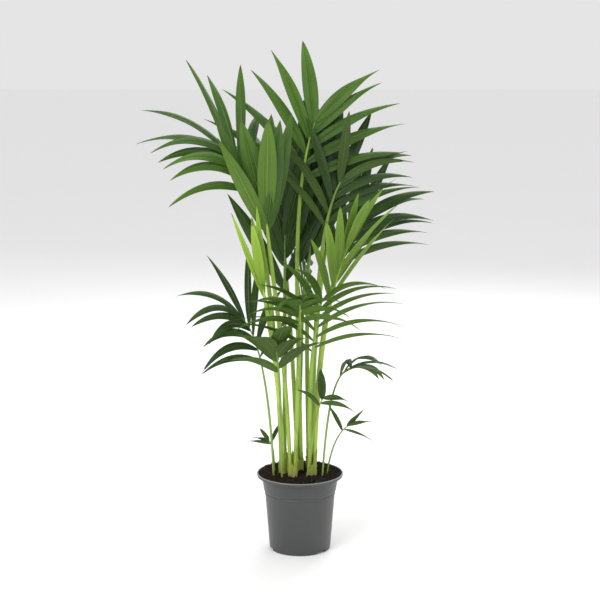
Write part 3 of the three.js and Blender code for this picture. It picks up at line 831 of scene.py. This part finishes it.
def stalk_finish(name, low, high):
    """Smooth green stalk: fine lengthwise fibres and flecks, olive at the foot."""
    material, tree = new_finish(name)
    along = tree.attribute("along")
    chance = tree.attribute("chance")
    height = tree.add("ShaderNodeSeparateXYZ", sockets={0: tree.place()}, out="Z")
    fibre = tree.mottle(tree.place((1, 1, 0.04)), 900, 3, 0.6)
    blotch = tree.mottle(tree.place((1, 1, 0.25)), 70, 3)
    colour = tree.mixed((along * 0.7 + fibre * 0.5 + chance * 0.25 - 0.3).rise(0, 1), low, high)
    foot = (1 - (height + blotch * 0.05).rise(SOIL_TOP, SOIL_TOP + 0.11)) * 0.6
    colour = tree.mixed(foot, colour, srgb(112, 118, 52))
    fleck = (blotch * 0.7 + fibre * 0.5).rise(0.6, 0.78)
    colour = tree.mixed(fleck * 0.55, colour, srgb(84, 108, 36))
    tree.shows(tree.add("ShaderNodeBsdfPrincipled", sockets={
        "Base Color": colour,
        "Roughness": 0.36 + fibre * 0.16,
        "Specular IOR Level": 0.45,
        "Subsurface Weight": 0.08,
        "Subsurface Scale": 0.003,
        "Normal": tree.relief(fibre, 0.25 * MM, 0.5),
    }))
    return material


LEAVES = {
    "mature": leaf_finish("leaf_mature", srgb(44, 78, 18), srgb(94, 138, 34),
                          srgb(118, 164, 30), 0.4),
    "broad": leaf_finish("leaf_broad", srgb(58, 94, 26), srgb(108, 148, 48),
                         srgb(118, 156, 38), 0.42),
    "light": leaf_finish("leaf_light", srgb(86, 128, 40), srgb(148, 184, 66),
                         srgb(160, 200, 56), 0.38),
    # The dark tone is a darker copy of the leaf finish, painted shade for fronds at the back and low
    # under the canopy.
    "dark": leaf_finish("leaf_dark", srgb(30, 58, 18), srgb(70, 108, 32),
                        srgb(88, 132, 26), 0.38),
    "young": leaf_finish("leaf_young", srgb(132, 176, 52), srgb(184, 216, 82),
                         srgb(194, 222, 70), 0.4),
}
STALKS = {
    "mature": stalk_finish("stalk_green", srgb(150, 178, 66), srgb(132, 168, 60)),
    "broad": stalk_finish("stalk_broad", srgb(160, 186, 70), srgb(146, 180, 64)),
    "light": stalk_finish("stalk_bright", srgb(168, 192, 74), srgb(150, 186, 66)),
    # The dark stalks are a darker copy of the stalk finish, painted shade as for their leaves.
    "dark": stalk_finish("stalk_deep", srgb(132, 162, 62), srgb(98, 134, 50)),
    "young": stalk_finish("stalk_young", srgb(178, 202, 84), srgb(176, 206, 80)),
}

growing = frond_tree()


def strands_of(frond, known_tips):
    """A frond's lines of points: its stalk and, if they reach the CAD frond's tips, its leaflets."""
    roll = dice(frond.name)
    chance = dice(f"{frond.name} shade")
    tint = 0.5 + 0.5 * chance()
    stalk = []
    for row in range(STALK_ROWS):
        t = row / (STALK_ROWS - 1)
        stalk.append((frond.point(t), Vector((1, 0, 0)), frond.radius(t), t, tint, 0))
    strands = [stalk]
    for pair in range(frond.pairs):
        for side in (-1, 1):
            leaflet = Leaflet(frond, pair, side, roll)
            course = leaflet.fitted(known_tips)
            if course is None:
                print("no place for a leaflet:", frond.name, pair, side)
                continue
            tint = 0.5 + 0.5 * chance()
            strands.append([(*row, tint, 1) for row in leaflet.rows(course, chance())])
    return strands


def lines_of(name, strands):
    """A piece of bare lines, which carry what the tree needs to give them a skin."""
    rows = [row for strand in strands for row in strand]
    edges = []
    count = 0
    for strand in strands:
        edges += [(count + row, count + row + 1) for row in range(len(strand) - 1)]
        count += len(strand)
    mesh = bpy.data.meshes.new(name)
    mesh.from_pydata([row[0] * MM for row in rows], edges, [])
    wide = mesh.attributes.new("wide", "FLOAT_VECTOR", "POINT")
    wide.data.foreach_set("vector", [part for row in rows for part in row[1]])
    for attribute, values in (
        ("half", [row[2] * MM for row in rows]),
        ("along", [row[3] for row in rows]),
        ("chance", [row[4] for row in rows]),
        ("blade", [row[5] for row in rows]),
    ):
        mesh.attributes.new(attribute, "FLOAT", "POINT").data.foreach_set("value", values)
    piece = bpy.data.objects.new(name, mesh)
    bpy.context.scene.collection.objects.link(piece)
    return piece


for frond in FRONDS:
    node = f"frond_{frond.name}"
    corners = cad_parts[node].data.vertices
    known_tips = kdtree.KDTree(len(corners))
    for number, corner in enumerate(corners):
        known_tips.insert(corner.co / MM, number)
    known_tips.balance()

    piece = lines_of(f"palm_{node}", strands_of(frond, known_tips))
    apply_tree(piece, growing, {
        "Stalk sides": STALK_SIDES, "Steps across": LEAF_STEPS, "Thickness": BLADE_THICKNESS,
        "Fold": BLADE_FOLD, "Pleats": PLEATS, "Pleat depth": PLEAT_DEPTH,
        "Midrib": MIDRIB_DEPTH, "Stalk finish": STALKS[frond.tone],
        "Leaf finish": LEAVES[frond.tone]}, 50)
    for name in ("wide", "half"):
        spent = piece.data.attributes.get(name)
        if spent:
            piece.data.attributes.remove(spent)
    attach(piece, "root")
    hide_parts(node)

# The sheaths: the fibrous bases of the oldest leaves, wrapped one over another round each
# seedling's stalks where they leave the soil. Each wrap is a thin tube, and its frayed upper edge
# rises to a peak on one side.
SHEATH_ROOT = 12
SHEATH_HEIGHTS = (60, 46, 33)
SHEATH_STEPS = 26
SHEATH_SIDES = 56
SHEATH_WALL = 0.8
WRAP_STEP = 0.55
WRAP_ROOM = PETIOLE_RADIUS * 1.12 + 0.35  # from a stalk's middle to the innermost wrap's outside
LIP_FLARE = 0.5
ROOT_FLARE = 1.6
FRAYS = 9
FRAY_DEPTH = 0.05
LOWEST_EDGE = 0.42  # of a wrap's height


def stalk_centre(frond, height):
    """Where a frond's stalk passes a height in millimetres."""
    low, high = 0, 0.6
    for _ in range(30):
        t = (low + high) / 2
        if frond.point(t).z < height:
            low = t
        else:
            high = t
    return frond.point(low)


def wrap_height(wrap, peak, angle, share):
    """How high a place on a wrap is, a share of the way from its root to its edge."""
    lean = 0.5 + 0.5 * math.cos(angle - peak)
    fray = 1 + FRAY_DEPTH * math.sin(FRAYS * angle + 5 * wrap) * share
    edge = SOIL_LEVEL + SHEATH_HEIGHTS[wrap] * between(LOWEST_EDGE, 1, lean ** 1.5) * fray
    return between(SOIL_LEVEL - SHEATH_ROOT, edge, share)


def wrap_ring(own, wrap, peak, share, wall):
    """A ring round a seedling's stalks, close to them and fluted, and wall further in."""
    centres = [stalk_centre(frond, wrap_height(wrap, peak, 0, share)) for frond in own]
    middle = sum(centres, Vector()) / len(centres)
    flare = LIP_FLARE * share ** 6 + ROOT_FLARE * max(0, 1 - share * 4) ** 2
    ring = []
    for side in range(SHEATH_SIDES):
        angle = math.tau * side / SHEATH_SIDES
        out = Vector((math.cos(angle), math.sin(angle), 0))
        reach = max((centre - middle).dot(out) for centre in centres)
        flute = 0.16 * math.sin(17 * angle + 2 * wrap) + 0.1 * math.sin(31 * angle)
        radius = max(0, reach) + WRAP_ROOM + WRAP_STEP * wrap + flute + flare - wall
        place = middle + out * radius
        place.z = wrap_height(wrap, peak, angle, share)
        ring.append(place * MM)
    return ring


husk, tree = new_finish("fibrous_husk")
height = tree.add("ShaderNodeSeparateXYZ", sockets={0: tree.place()}, out="Z")
fibre = tree.mottle(tree.place((1, 1, 0.05)), 650, 4, 0.65)
blotch = tree.mottle(tree.place((1, 1, 0.4)), 90, 4)
green = (height + blotch * 0.03).rise(SOIL_TOP - 0.01, SOIL_TOP + 0.055)
colour = tree.mixed((fibre * 0.8 + blotch * 0.5 - 0.2).rise(0.1, 0.8),
                    srgb(96, 84, 44), srgb(186, 174, 108))
colour = tree.mixed(green * 0.85, colour, srgb(146, 168, 60))
colour = tree.mixed(blotch.rise(0.6, 0.75) * 0.35, colour, srgb(82, 62, 34))
tree.shows(tree.add("ShaderNodeBsdfPrincipled", sockets={
    "Base Color": colour,
    "Roughness": 0.6 + fibre * 0.25,
    "Specular IOR Level": 0.3,
    "Normal": tree.relief(fibre, 0.6 * MM, 0.8),
}))

rising = [step / SHEATH_STEPS for step in range(SHEATH_STEPS + 1)]
for seedling, (_, stalks) in SEEDLINGS.items():
    if stalks < 2:
        continue
    own = [frond for frond in FRONDS if frond.seedling == seedling]
    chance = dice(f"{seedling} husk")
    points = []
    faces = []
    for wrap in range(len(SHEATH_HEIGHTS)):
        peak = math.pi * (1 + chance()) + 0.5 * chance()
        rings = [wrap_ring(own, wrap, peak, share, 0) for share in rising]
        rings += [wrap_ring(own, wrap, peak, share, SHEATH_WALL) for share in reversed(rising)]
        start = len(points)
        points += [point for ring in rings for point in ring]
        for row in range(len(rings)):
            low = start + row * SHEATH_SIDES
            high = start + (row + 1) % len(rings) * SHEATH_SIDES
            for side in range(SHEATH_SIDES):
                beyond = (side + 1) % SHEATH_SIDES
                faces.append((low + side, low + beyond, high + beyond, high + side))
    sheath = new_piece(f"husk_{seedling}", points, faces)
    settle(sheath, 50)
    sheath.data.materials.append(husk)
    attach(sheath, "root")
    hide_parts(f"sheath_{seedling}")

low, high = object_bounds()
